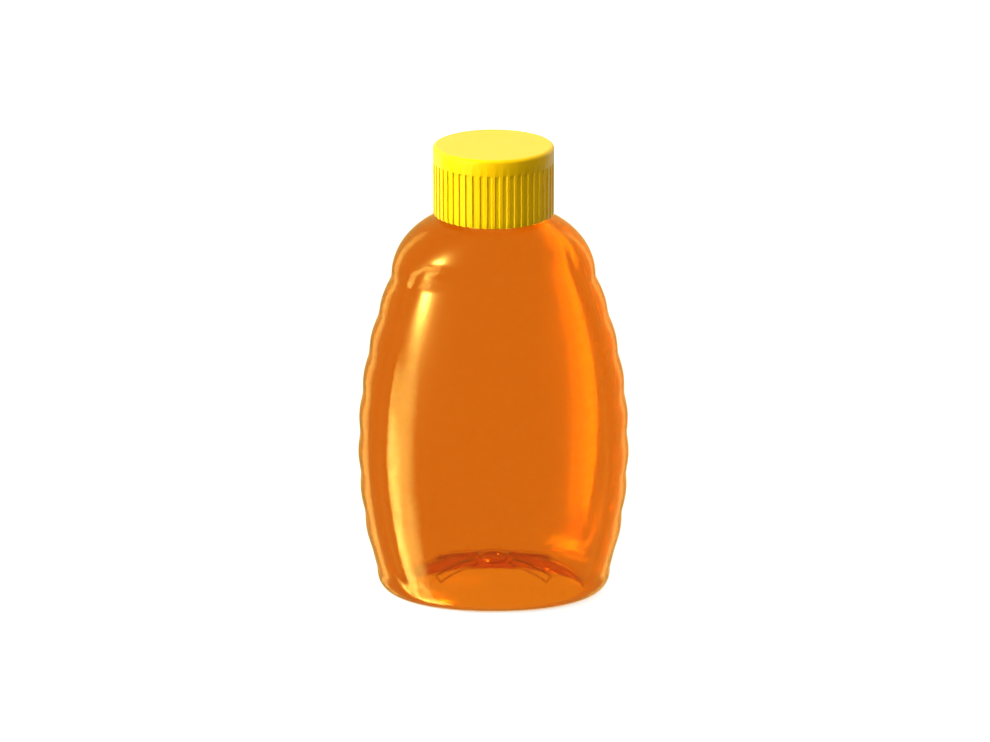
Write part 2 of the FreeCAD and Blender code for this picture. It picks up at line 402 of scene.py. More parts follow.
class Loft:
    """A Geometry Nodes tree that lofts rings along a rail.

    Its inputs are the rail, the number of points around, the material and the sizes that its maker
    names. The maker shapes the rings and closes the tree with finish.
    """

    def __init__(self, name: str, sharp_angle: float, sizes: dict[str, float]) -> None:
        """Starts the tree up to the flat grid of rows and columns.

        Args:
            name: Name of the tree.
            sharp_angle: Angle between two faces above which their edge is shaded sharp.
            sizes: Default of each named input.
        """
        self.graph = start_tree(name, ("Around",), {"Sharp Angle": sharp_angle, **sizes})
        self.tree = self.graph.tree
        self.group = self.graph.add("NodeGroupInput")
        self._lay_grid()

    def size(self, name: str) -> Field:
        """A named input of the tree."""
        return Field(self.graph, self.group.outputs[name])

    def _lay_grid(self) -> None:
        """Lays a flat grid, one row for each station, and finds each point's place on it."""
        graph = self.graph
        rail = self.group.outputs["Geometry"]
        domain = graph.join("GeometryNodeAttributeDomainSize", {"Geometry": rail}, component="MESH")
        rows = Field(graph, domain.outputs["Point Count"])
        columns = self.size("Around") + 1.0
        grid = graph.join(
            "GeometryNodeMeshGrid",
            {"Size X": 1.0, "Size Y": 1.0, "Vertices X": columns, "Vertices Y": rows},
        )
        across, along, _ = graph.parts(graph.add("GeometryNodeInputPosition").outputs[0])
        self.row = graph.math("ROUND", (along + 0.5) * (rows - 1.0))
        self.turn = (across + 0.5) * FULL_TURN
        self.flat_grid = grid.outputs["Mesh"]

    def station(self, value: str) -> Field:
        """Looks up one of the station's values, at each point of its ring.

        Args:
            value: Name of the value.

        Returns:
            The value.
        """
        graph = self.graph
        named = graph.join("GeometryNodeInputNamedAttribute", {"Name": value}, data_type="FLOAT")
        sampled = graph.join(
            "GeometryNodeSampleIndex",
            {
                "Geometry": self.group.outputs["Geometry"],
                "Value": named.outputs["Attribute"],
                "Index": self.row,
            },
            data_type="FLOAT",
            domain="POINT",
        )
        return Field(graph, sampled.outputs[0])

    def finish(self, x: Field, y: Field, z: Field, inset: Field) -> bpy.types.NodeTree:
        """Places the grid's points, closes its seam and poles, insets it and ends the tree.

        Before the inset, rings of the two faces of a wall can meet. They are held apart while the
        seam and the poles are closed, by the inset times APART, so that only those points join.

        Args:
            x: Place of each point along X.
            y: Place of each point along Y.
            z: Height of each point.
            inset: How far each point then moves in along the surface's normal.

        Returns:
            The finished tree.
        """
        graph = self.graph
        captured = graph.add("GeometryNodeCaptureAttribute", domain="POINT")
        captured.capture_items.new("FLOAT", "Inset")
        graph.feed(captured.inputs["Geometry"], self.flat_grid)
        graph.feed(captured.inputs["Inset"], inset)
        apart = graph.vector(x, y, z + inset * APART)
        placed = graph.join(
            "GeometryNodeSetPosition",
            {"Geometry": captured.outputs["Geometry"], "Position": apart},
        )
        merged = graph.join(
            "GeometryNodeMergeByDistance",
            {"Geometry": placed.outputs[0], "Distance": MERGE_DISTANCE},
        )
        kept_inset = Field(graph, captured.outputs["Inset"])
        together = graph.join(
            "GeometryNodeSetPosition",
            {"Geometry": merged.outputs[0], "Offset": graph.vector(0.0, 0.0, kept_inset * -APART)},
        )
        normal = graph.add("GeometryNodeInputNormal")
        offset = graph.join("ShaderNodeVectorMath", {"Scale": kept_inset}, operation="SCALE")
        graph.feed(offset.inputs[0], normal.outputs[0])
        moved = graph.join(
            "GeometryNodeSetPosition",
            {"Geometry": together.outputs[0], "Offset": offset.outputs[0]},
        )
        end_tree(graph, self.group, moved.outputs[0])
        return self.tree


def grown(
    rail: bpy.types.Object, tree: bpy.types.NodeTree, inputs: dict[str, object]
) -> bpy.types.Object:
    """Runs a Geometry Nodes tree on an object and leaves the result as its plain mesh.

    Args:
        rail: The object that the tree starts from.
        tree: The tree.
        inputs: Value of each named input that differs from its default.

    Returns:
        The same object with its new mesh and no modifier.
    """
    modifier = rail.modifiers.new(tree.name, "NODES")
    modifier.node_group = tree
    for item in tree.interface.items_tree:
        if item.item_type == "SOCKET" and item.in_out == "INPUT" and item.name in inputs:
            modifier[item.identifier] = inputs[item.name]
    depsgraph = bpy.context.evaluated_depsgraph_get()
    mesh = bpy.data.meshes.new_from_object(rail.evaluated_get(depsgraph))
    mesh.name = rail.name
    rail.modifiers.clear()
    rail.data = mesh
    return rail


def kept_inside(piece: bpy.types.Object, node: str) -> None:
    """Holds every point of a piece inside the box of the construction node that it replaces.

    Args:
        piece: The piece.
        node: Name of the node.
    """
    low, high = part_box(node)
    points = np.empty(len(piece.data.vertices) * 3, np.float32)
    piece.data.vertices.foreach_get("co", points)
    points = np.clip(points.reshape(-1, 3), np.array(low), np.array(high))
    piece.data.vertices.foreach_set("co", points.ravel().astype(np.float32))
    piece.data.update()


# ---------------------------------------------------------------------------------------------
# Bottle body
# ---------------------------------------------------------------------------------------------


@dataclass
class Panel:
    """Label panel on each wide face: a flatter field inside a soft crease."""

    foot_gap: float = 1.0 * MM
    top_reach: float = 6.6 * MM
    foot_margin: float = 8.5 * MM
    belly_margin: float = 6.6 * MM
    top_margin: float = 9.9 * MM
    corner_radius: float = 3.0 * MM
    sink: float = 1.5 * MM
    ledge: float = 2.6 * MM
    crease_depth: float = 0.45 * MM
    crease_half_width: float = 1.7 * MM


@dataclass
class Lobes:
    """Scalloped grip lobes down each narrow side."""

    count: int = 7
    bottom_height: float = 14.7 * MM
    depth: float = 0.62 * MM
    rounding: float = 0.2
    half_spread: float = 12.0 * MM


@dataclass
class PushUp:
    """Dome under the base, with radial ribs, a round boss in the middle and the moulding nub.

    The rings of its mesh lie at edge_rows across each steep edge and at boss_rows over the boss.
    They are round out to round_reach times the boss, and then ease into the rim's oval.
    """

    ring_side: float = 3.3 * MM
    ring_face: float = 1.2 * MM
    rise: float = 10.6 * MM
    rib_angle: float = math.radians(27.0)
    rib_width: float = 3.0 * MM
    rib_rise: float = 0.9 * MM
    rib_boss_gap: float = 2.9 * MM
    rib_edge_gap: float = 5.7 * MM
    boss_radius: float = 4.1 * MM
    boss_rise: float = 0.9 * MM
    gate_radius: float = 1.1 * MM
    gate_drop: float = 0.7 * MM
    edge: float = 0.18 * MM
    edge_rows: tuple[float, ...] = (-1.0, -0.4, 0.4, 1.0)
    boss_rows: tuple[float, ...] = (0.4, 0.6, 0.8)
    round_reach: float = 1.25
    oval_ease: float = 1.5


def arc_drop(radius: float, rise: float) -> float:
    """How far an upright arc has gone in at a height above or below its widest point."""
    return radius - math.sqrt(radius**2 - rise**2)


@dataclass
class Body:
    """Oval bottle body: its arcs, foot, shoulder and relief, and the rings that describe it.

    The overall half-width and height come from the construction frame.
    """

    belly_height: float = 50.4 * MM
    side_arc_radius: float = 172.0 * MM
    face_half_depth: float = 28.0 * MM
    face_belly_height: float = 40.0 * MM
    face_arc_radius: float = 390.0 * MM
    oval_power: float = 2.12
    shoulder_height: float = 111.4 * MM
    shoulder_rise: float = 21.6 * MM
    shoulder_top_radius: float = 15.4 * MM
    shoulder_rise_power: float = 2.07
    shoulder_flat_power: float = 1.6
    shoulder_blend: float = 4.0 * MM
    foot_band_height: float = 8.0 * MM
    foot_corner_radius: float = 6.5 * MM
    wall: float = 0.8 * MM
    foot_fineness: float = 0.6
    foot_least_steps: int = 6
    shoulder_fineness: float = 0.8
    shoulder_length: float = 1.5
    panel: Panel = field(default_factory=Panel)
    lobes: Lobes = field(default_factory=Lobes)
    push_up: PushUp = field(default_factory=PushUp)

    def __post_init__(self) -> None:
        """Takes the widest half-width from the frame, less the lobes that stand on it."""
        _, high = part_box("bottle")
        self.belly_half_width = high.x - self.lobes.depth

    def side_half_width(self, height: float) -> float:
        """Half-width of the plain side at a height."""
        return self.belly_half_width - arc_drop(self.side_arc_radius, height - self.belly_height)

    def side_half_depth(self, height: float) -> float:
        """Half-depth of the plain face at a height."""
        rise = height - self.face_belly_height
        return self.face_half_depth - arc_drop(self.face_arc_radius, rise)

    def side_turn(self, height: float) -> float:
        """Angle along the side arc at a height, measured from the belly."""
        return math.asin((height - self.belly_height) / self.side_arc_radius)

    def foot_half_sizes(self) -> tuple[float, float]:
        """Measures the flat outline that the bottle stands on.

        Returns:
            Its half-width and half-depth.
        """
        width = self.side_half_width(self.foot_band_height) - self.foot_corner_radius
        depth = self.side_half_depth(self.foot_band_height) - self.foot_corner_radius
        return width, depth

    def dome_half_sizes(self) -> tuple[float, float]:
        """Half-width and half-depth of the push-up's rim."""
        width, depth = self.foot_half_sizes()
        return width - self.push_up.ring_side, depth - self.push_up.ring_face

    def rib_end(self) -> float:
        """Measures how far out a rib of the push-up reaches.

        Returns:
            Distance from the middle of the dome to the rib's outer end.
        """
        up = self.push_up
        rim_width, rim_depth = self.dome_half_sizes()
        reach = math.hypot(math.cos(up.rib_angle) / rim_width, math.sin(up.rib_angle) / rim_depth)
        return 1.0 / reach - up.rib_edge_gap

    def side_rings(
        self, fineness: float, inset: float, cover: float, top_radius: float
    ) -> list[Station]:
        """Rings from the foot's flat outline up the corner and the side, and over the shoulder.

        Args:
            fineness: Length of surface between two rings on the side.
            inset: How far the rings move in along the normal.
            cover: Cover over the push-up, for the rings that touch the base.
            top_radius: Half-depth down to which the shoulder has rings.

        Returns:
            The rings, from the lowest up.
        """
        rings = self._foot_rings(fineness, inset, cover) + self._wall_rings(fineness, inset)
        shoulder = self._shoulder_rings(fineness, inset)
        return rings + [ring for ring in shoulder if ring.half_depth > top_radius]

    def _foot_rings(self, fineness: float, inset: float, cover: float) -> list[Station]:
        """Lays rings round the foot's corner.

        Args:
            fineness: Length of surface between two rings on the side.
            inset: How far the rings move in along the normal.
            cover: Plastic over the push-up.

        Returns:
            The rings, from the lowest up.
        """
        width, depth = self.foot_half_sizes()
        length = QUARTER_TURN * self.foot_corner_radius
        steps = max(self.foot_least_steps, round(length / (self.foot_fineness * fineness)))
        rings = []
        for step in range(steps + 1):
            turn = QUARTER_TURN * step / steps
            reach = self.foot_corner_radius * math.sin(turn)
            height = self.foot_corner_radius * (1.0 - math.cos(turn))
            rings.append(Station(width + reach, depth + reach, height, 0.0, inset, cover))
        return rings

    def _wall_rings(self, fineness: float, inset: float) -> list[Station]:
        """Lays rings up the side, evenly spaced along its arc.

        Args:
            fineness: Length of surface between two rings.
            inset: How far the rings move in along the normal.

        Returns:
            The rings, from the lowest up.
        """
        first = self.side_turn(self.foot_band_height)
        last = self.side_turn(self.shoulder_height)
        steps = round(self.side_arc_radius * (last - first) / fineness)
        rings = []
        for step in range(steps + 1):
            turn = first + (last - first) * step / steps
            height = self.belly_height + self.side_arc_radius * math.sin(turn)
            width, depth = self.side_half_width(height), self.side_half_depth(height)
            rings.append(Station(width, depth, height, 0.0, inset))
        return rings

    def _shoulder_rings(self, fineness: float, inset: float) -> list[Station]:
        """Lays rings over the shoulder, up to where the neck leaves it.

        Args:
            fineness: Length of surface between two rings on the side.
            inset: How far the rings move in along the normal.

        Returns:
            The rings, from the lowest up.
        """
        width = self.side_half_width(self.shoulder_height)
        face = self.side_half_depth(self.shoulder_height)
        face_rise = self.shoulder_height - self.face_belly_height
        lean = math.tan(math.asin(face_rise / self.face_arc_radius))
        top, blend = self.shoulder_top_radius, self.shoulder_blend
        length = self.shoulder_length * self.shoulder_rise
        steps = round(length / (self.shoulder_fineness * fineness))
        rings = []
        for step in range(1, steps):
            share = math.sin(QUARTER_TURN * step / steps)
            reach = (1.0 - share**self.shoulder_rise_power) ** (1.0 / self.shoulder_flat_power)
            rise = self.shoulder_rise * share
            # the face goes on along its lean for a little, so that it meets the shoulder softly
            depth = face - lean * blend * (1.0 - math.exp(-rise / blend))
            sizes = (top + (half - top) * reach for half in (width, depth))
            rings.append(Station(*sizes, self.shoulder_height + rise, 1.0 - reach, inset))
        return rings

    def base_rings(self, cover: float, steps: int) -> list[Station]:
        """Rings from the middle of the base out over the push-up to the flat outline.

        Args:
            cover: Plastic over the push-up: nothing for the underside.
            steps: How many rings lie on the dome outside the boss.

        Returns:
            The rings, from the middle outwards.
        """
        up = self.push_up
        rim_width, rim_depth = (half + cover for half in self.dome_half_sizes())
        gate, boss = up.gate_radius + cover, up.boss_radius + cover
        radii = [0.0, 0.5 * gate]
        radii += [gate + up.edge * row for row in up.edge_rows]
        radii += [gate + (boss - gate) * share for share in up.boss_rows]
        radii += [boss + up.edge * row for row in up.edge_rows]
        sizes = [(radius, radius) for radius in radii]
        start = math.acos(up.round_reach * boss / rim_depth)
        for step in range(steps + 1):
            share = math.cos(start * (1.0 - step / steps))
            depth = rim_depth * share
            oval = min(1.0, 2.0 * step / steps) ** up.oval_ease
            sizes.append((depth + (rim_width * share - depth) * oval, depth))
        rings = [Station(width, depth, cover, 1.0, 0.0, cover, 1.0) for width, depth in sizes]
        width, depth = self.foot_half_sizes()
        middle = (0.5 * (rim_width + width), 0.5 * (rim_depth + depth))
        return rings + [Station(*middle, cover, 0.5, 0.0, cover, 0.0)]


def raised_shares(
    body: Body, x: Field, y: Field, cover: Number, softness: float
) -> tuple[Field, Field]:
    """Where the push-up's ribs and boss stand, from 0 beside them to 1 on them.

    Args:
        body: The bottle's body.
        x: Place along X.
        y: Place along Y.
        cover: Plastic over the push-up.
        softness: Half-width of their sloping edges.

    Returns:
        The share of the ribs and the share of the boss.
    """
    up = body.push_up
    across, along = math.cos(up.rib_angle), math.sin(up.rib_angle)
    outward = abs(x) * across + abs(y) * along
    sideways = abs(abs(y) * across - abs(x) * along)
    rib = sideways.inside(0.5 * up.rib_width + cover, softness)
    rib = rib * outward.inside(body.rib_end() + cover, softness)
    rib = rib * (1.0 - outward.inside(up.boss_radius + up.rib_boss_gap - cover, softness))
    return rib, hypotenuse(x, y).inside(up.boss_radius + cover, softness)


class BodyLoft(Loft):
    """Loft that bends its rings into the bottle's oval, with lobes, label panels and push-up."""

    def __init__(self, body: Body) -> None:
        """Builds the tree.

        Args:
            body: Sizes of the body, which become the defaults of the tree's inputs.
        """
        panel, lobes, up = body.panel, body.lobes, body.push_up
        super().__init__(
            "bottle body",
            math.pi,
            {
                "Oval Power": body.oval_power,
                "Lobe Count": lobes.count,
                "Lobe Depth": lobes.depth,
                "Lobe Rounding": lobes.rounding,
                "Lobe Half Spread": lobes.half_spread,
                "Panel Corner Radius": panel.corner_radius,
                "Panel Sink": panel.sink,
                "Panel Ledge": panel.ledge,
                "Crease Depth": panel.crease_depth,
                "Crease Half Width": panel.crease_half_width,
                "Dome Rise": up.rise,
                "Rib Rise": up.rib_rise,
                "Boss Rise": up.boss_rise,
                "Gate Radius": up.gate_radius,
                "Gate Drop": up.gate_drop,
            },
        )
        self.body = body
        self._shape()

    def _shape(self) -> None:
        """Works out where each point of each ring goes."""
        width, depth = self.station("half_width"), self.station("half_depth")
        height, roundness = self.station("height"), self.station("roundness")
        power = self.size("Oval Power").mixed(2.0, roundness)
        across, along = self.turn.cosine(), self.turn.sine()
        x = width * across.sign() * abs(across) ** (2.0 / power)
        y = depth * along.sign() * abs(along) ** (2.0 / power)
        normal_x = x.sign() * abs(x / width) ** (power - 1.0) / width
        normal_y = y.sign() * abs(y / depth) ** (power - 1.0) / depth
        length = hypotenuse(normal_x, normal_y)
        shift = self._lobe_swell(y, height) - self._panel_relief(x, height)
        inset = self.station("inset")
        self.finish(
            x + shift * normal_x / length,
            y + shift * normal_y / length,
            self._base_height(x, y, height),
            inset,
        )

    def _lobe_swell(self, y: Field, height: Field) -> Field:
        """Works out how far the grip lobes stand out of the side.

        Args:
            y: Place along Y.
            height: Height of the ring.

        Returns:
            The swell, out along the normal.
        """
        body, lobes = self.body, self.body.lobes
        first, last = body.side_turn(lobes.bottom_height), body.side_turn(body.shoulder_height)
        level = height.at_least(lobes.bottom_height).at_most(body.shoulder_height)
        turn = self.graph.math("ARCSINE", (level - body.belly_height) / body.side_arc_radius)
        wave = (self.size("Lobe Count") * (turn - first) * (math.pi / (last - first))).sine()
        rounding = self.size("Lobe Rounding")
        crest = hypotenuse(rounding, 1.0) - rounding
        spread = (abs(y) / self.size("Lobe Half Spread")).at_most(1.0)
        fade = (spread * QUARTER_TURN).cosine()
        swell = (hypotenuse(wave, rounding) - rounding) / crest
        return self.size("Lobe Depth") * swell * fade * fade

    def _panel_half_width(self, level: Field) -> Field:
        """Works out the label panel's half-width: a parabola through its foot, belly and top.

        Args:
            level: Height, within the panel.

        Returns:
            The half-width.
        """
        body, panel = self.body, self.body.panel
        low, mid, high = self._panel_heights()
        foot = body.side_half_width(low) - panel.foot_margin
        belly = body.side_half_width(mid) - panel.belly_margin
        top = body.side_half_width(body.shoulder_height) - panel.top_margin
        slope = (belly - foot) / (mid - low)
        bend = ((top - foot) / (high - low) - slope) / (high - mid)
        return foot + (level - low) * (slope + bend * (level - mid))

    def _panel_heights(self) -> tuple[float, float, float]:
        """Places the label panel along the body's height.

        Returns:
            Heights of the panel's bottom, the belly and the panel's top.
        """
        body = self.body
        low = body.foot_band_height + body.panel.foot_gap
        return low, body.belly_height, body.shoulder_height + body.panel.top_reach

    def _panel_relief(self, x: Field, height: Field) -> Field:
        """Works out how far the face lies inside the plain oval, in the crease and the panel.

        Args:
            x: Place along X.
            height: Height of the ring.

        Returns:
            The relief, in along the normal.
        """
        low, _, high = self._panel_heights()
        half_width = self._panel_half_width(height.at_least(low).at_most(high))
        radius = self.size("Panel Corner Radius")
        across = abs(x) - half_width + radius
        along = abs(height - 0.5 * (low + high)) - 0.5 * (high - low) + radius
        outside = hypotenuse(across.at_least(0.0), along.at_least(0.0))
        distance = across.at_least(along).at_most(0.0) + outside - radius
        spread = distance / self.size("Crease Half Width")
        crease = self.size("Crease Depth") * self.graph.math("EXPONENT", -(spread * spread))
        share = x / half_width
        bowl = (1.0 - share * share).at_least(0.0)
        ledge = (-distance / self.size("Panel Ledge")).eased()
        return crease + self.size("Panel Sink") * bowl * ledge

    def _ellipsoid(self, x: Field, y: Field, grow: Number) -> Field:
        """Works out the height of the push-up's dome, grown evenly.

        Args:
            x: Place along X.
            y: Place along Y.
            grow: How much larger the dome is.

        Returns:
            The height.
        """
        rim_width, rim_depth = self.body.dome_half_sizes()
        across, along = x / (grow + rim_width), y / (grow + rim_depth)
        left = (1.0 - across * across - along * along).at_least(0.0)
        return (self.size("Dome Rise") + grow) * left.root()

    def _base_height(self, x: Field, y: Field, height: Field) -> Field:
        """Lifts the rings that follow the push-up over its dome, ribs and boss.

        Args:
            x: Place along X.
            y: Place along Y.
            height: Height of the ring.

        Returns:
            Height of each point.
        """
        cover, under = self.station("cover"), self.station("under")
        edge = self.body.push_up.edge
        dome = self._ellipsoid(x, y, cover)
        rib_dome = self._ellipsoid(x, y, cover + self.size("Rib Rise"))
        rib, boss = raised_shares(self.body, x, y, cover, edge)
        boss_height = self.size("Dome Rise") + self.size("Boss Rise") + cover
        bare = 1.0 - (cover / MERGE_DISTANCE).at_most(1.0)
        gate = hypotenuse(x, y).inside(self.size("Gate Radius"), edge)
        nub = gate * self.size("Gate Drop") * bare
        lifted = dome.mixed(rib_dome, rib).mixed(boss_height, boss) - nub
        return height.mixed(lifted.at_least(height), under)


@dataclass
class Bottle:
    """Clear bottle wall with its neck finish."""

    body: Body
    neck_radius: float = 16.8 * MM
    neck_wall: float = 1.2 * MM
    bead_proud: float = 0.7 * MM
    bead_height: float = 1.8 * MM
    bead_lift: float = 4.0 * MM
    bead_round: float = 0.175 * MM
    rim_round: float = 0.3 * MM
    outer_fineness: float = 0.82 * MM
    inner_fineness: float = 1.5 * MM
    dome_steps: int = 50
    inner_dome_steps: int = 22
    around: int = 240

    def neck_rings(self) -> list[Station]:
        """Lays rings up the outside of the neck, over its rim and down the bore.

        Returns:
            The rings, in that order.
        """
        _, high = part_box("bottle")
        root = self.body.shoulder_height + self.body.shoulder_rise
        bead = root + self.bead_lift
        outer, bore = self.neck_radius, self.neck_radius - self.neck_wall
        proud = outer + self.bead_proud
        edge = self.bead_round
        outline = [
            (outer, root),
            (outer, bead - edge),
            (proud - edge, bead),
            (proud, bead + edge),
            (proud, bead + self.bead_height - edge),
            (proud - edge, bead + self.bead_height),
            (outer, bead + self.bead_height + edge),
            (outer, high.z - self.rim_round),
            (outer - self.rim_round, high.z),
            (bore + self.rim_round, high.z),
            (bore, high.z - self.rim_round),
            (bore, root),
        ]
        return round_stations(outline)

    def build(self, loft: BodyLoft, material: bpy.types.Material) -> bpy.types.Object:
        """Builds the bottle's wall as one closed skin.

        Args:
            loft: The body's loft.
            material: The clear wall.

        Returns:
            The piece, riding on the root body in place of the bottle node.
        """
        body, wall = self.body, self.body.wall
        bore = self.neck_radius - self.neck_wall
        outside = body.side_rings(self.outer_fineness, 0.0, 0.0, self.neck_radius)
        inside = body.side_rings(self.inner_fineness, wall, wall, bore + wall)
        rings = body.base_rings(0.0, self.dome_steps) + outside + self.neck_rings()
        rings += inside[::-1] + body.base_rings(wall, self.inner_dome_steps)[::-1]
        rail = rail_object("bottle_wall", rings)
        piece = grown(rail, loft.tree, {"Around": self.around, "Material": material})
        kept_inside(piece, "bottle")
        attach(piece, "root")
        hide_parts("bottle")
        return piece


@dataclass
class NeckThread:
    """Screw thread round the neck, under the cap, whose ends run out into the neck."""

    radius: float = 16.85 * MM
    thickness: float = 0.5 * MM
    bottom: float = 142.0 * MM
    turns: float = 1.5
    pitch: float = 4.2 * MM
    taper: float = 0.06
    end_thickness: float = 0.3
    resolution: int = 96
    sides: int = 10

    def tree(self) -> bpy.types.NodeTree:
        """Builds the Geometry Nodes tree that sweeps a round bead along a helix.

        Returns:
            The tree, whose inputs are the sizes that shape the thread.
        """
        sizes = {
            "Sharp Angle": math.pi,
            "Radius": self.radius,
            "Thickness": self.thickness,
            "Turns": self.turns,
            "Pitch": self.pitch,
        }
        graph = start_tree("neck thread", (), sizes)
        group = graph.add("NodeGroupInput")
        radius, turns = group.outputs["Radius"], Field(graph, group.outputs["Turns"])
        spiral = graph.join(
            "GeometryNodeCurveSpiral",
            {
                "Resolution": self.resolution,
                "Rotations": turns,
                "Start Radius": radius,
                "End Radius": radius,
                "Height": turns * Field(graph, group.outputs["Pitch"]),
                "Reverse": True,
            },
        )
        along = Field(graph, graph.add("GeometryNodeSplineParameter").outputs["Factor"])
        to_end = along.at_most(1.0 - along)
        slim = (to_end / self.taper).eased().at_least(self.end_thickness)
        tapered = graph.join(
            "GeometryNodeSetCurveRadius", {"Curve": spiral.outputs[0], "Radius": slim}
        )
        bead = graph.join(
            "GeometryNodeCurvePrimitiveCircle",
            {"Resolution": self.sides, "Radius": group.outputs["Thickness"]},
        )
        swept = graph.join(
            "GeometryNodeCurveToMesh",
            {"Curve": tapered.outputs[0], "Profile Curve": bead.outputs[0], "Fill Caps": True},
        )
        raised = graph.join(
            "GeometryNodeSetPosition",
            {"Geometry": swept.outputs[0], "Offset": graph.vector(0.0, 0.0, self.bottom)},
        )
        end_tree(graph, group, raised.outputs[0])
        return graph.tree

    def build(self, material: bpy.types.Material) -> bpy.types.Object:
        """Builds the thread.

        Args:
            material: The clear wall.

        Returns:
            The piece, riding on the root body.
        """
        piece = grown(rail_object("neck_thread", []), self.tree(), {"Material": material})
        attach(piece, "root")
        return piece


@dataclass
class Honey:
    """Honey that fills the bottle up into the neck and reaches just into the wall."""

    body: Body
    bore_radius: float = 15.6 * MM
    reach: float = 0.5 * MM
    fineness: float = 0.95 * MM
    dome_steps: int = 50
    around: int = 240

    def build(self, loft: BodyLoft, material: bpy.types.Material) -> bpy.types.Object:
        """Builds the honey as one closed solid.

        Args:
            loft: The body's loft.
            material: The honey.

        Returns:
            The piece, riding on the root body in place of the honey node.
        """
        _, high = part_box("honey")
        body, top = self.body, high.z
        cover = body.wall - self.reach
        radius = self.bore_radius + self.reach
        root = body.shoulder_height + body.shoulder_rise
        neck = [(radius, root), (radius, top - self.reach), (radius - self.reach, top), (0.0, top)]
        rings = body.base_rings(cover, self.dome_steps)
        rings += body.side_rings(self.fineness, -cover, cover, radius + cover)
        rail = rail_object("honey_fill", rings + round_stations(neck))
        piece = grown(rail, loft.tree, {"Around": self.around, "Material": material})
        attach(piece, "root")
        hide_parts("honey")
        return piece


# ---------------------------------------------------------------------------------------------
# Cap
# ---------------------------------------------------------------------------------------------


class CapLoft(Loft):
    """Loft of round rings that upright gaps cut into, so that ribs stand between them.

    A gap's edges lie GAP_HALF of the pitch from its middle, and the points crowd towards them.
    """

    SHARP_ANGLE = math.radians(25.0)
    GAP_HALF = 0.25
    CROWDING = 1.2

    def __init__(self, ribs: int, depth: float, edge: float) -> None:
        """Builds the tree.

        Args:
            ribs: How many ribs stand around the cap.
            depth: How deep the gaps between them are.
            edge: Half-width of a gap's sloping edge, as a share of the pitch.
        """
        sizes = {"Rib Count": ribs, "Gap Depth": depth, "Edge": edge}
        super().__init__("ribbed cap", self.SHARP_ANGLE, sizes)
        shift = self.turn * self.size("Rib Count") / FULL_TURN
        whole = self.graph.math("ROUND", shift)
        side = shift - whole
        off_edge = abs(side) - self.GAP_HALF
        crowded = off_edge * abs(off_edge / self.GAP_HALF) ** self.CROWDING
        place = whole + side.sign() * (crowded + self.GAP_HALF)
        turn = place / self.size("Rib Count") * FULL_TURN
        gap = crowded.inside(0.0, edge) * self.size("Gap Depth") * self.station("flute")
        radius = self.station("half_width") - gap
        x, y = radius * turn.cosine(), radius * turn.sine()
        self.finish(x, y, self.station("height"), self.station("inset"))


